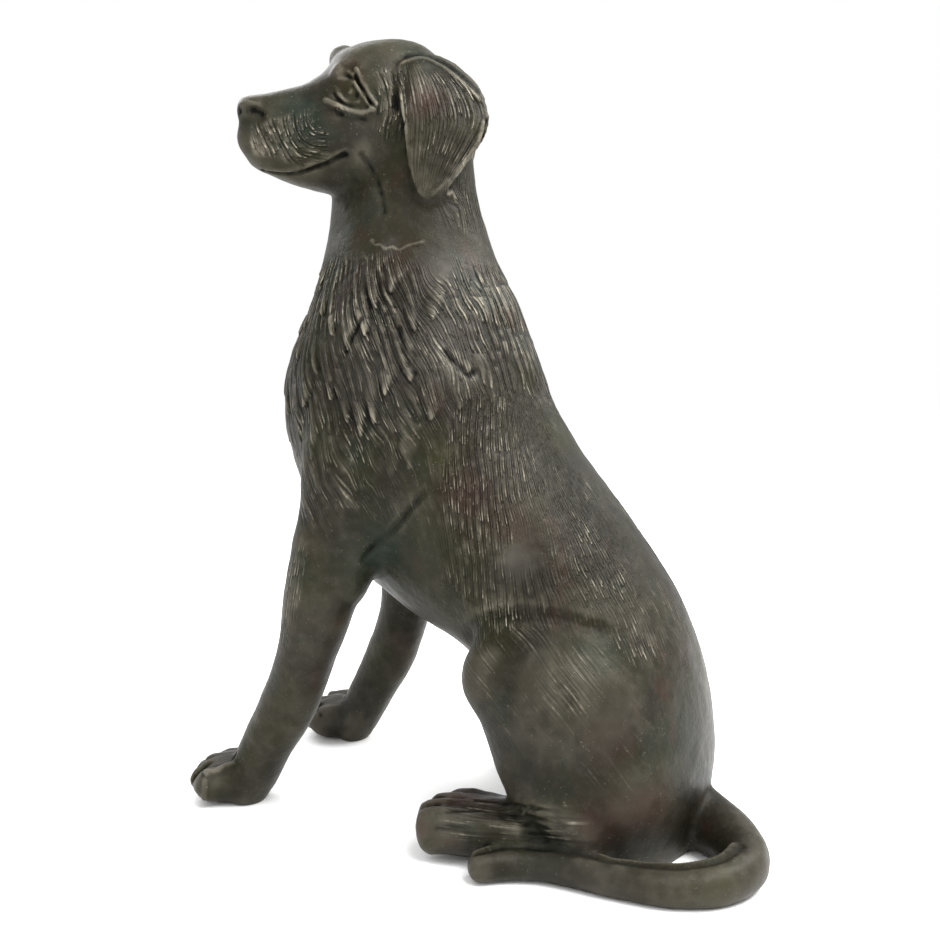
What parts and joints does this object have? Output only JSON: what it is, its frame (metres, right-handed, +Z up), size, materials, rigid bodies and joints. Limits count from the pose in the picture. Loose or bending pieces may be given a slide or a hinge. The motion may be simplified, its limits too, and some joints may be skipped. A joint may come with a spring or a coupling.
{
  "type": "garden statue",
  "caption": "Cast bronze garden statue of a seated retriever-like dog, head turned aside, tail curled round beside its hind foot.",
  "frame": {"origin": "centre of the bounding box at floor level", "axes": "+X to the dog's left, +Y towards its tail, +Z up; the chest and front paws face -Y"},
  "size_m": [0.3218, 0.5756, 0.75],
  "materials": {
    "patinated_bronze": "dark satin bronze with an olive-brown patina, worn lighter on the ridges"
  },
  "bodies": {
    "root": {"dog": "patinated_bronze"}
  },
  "joints": []
}
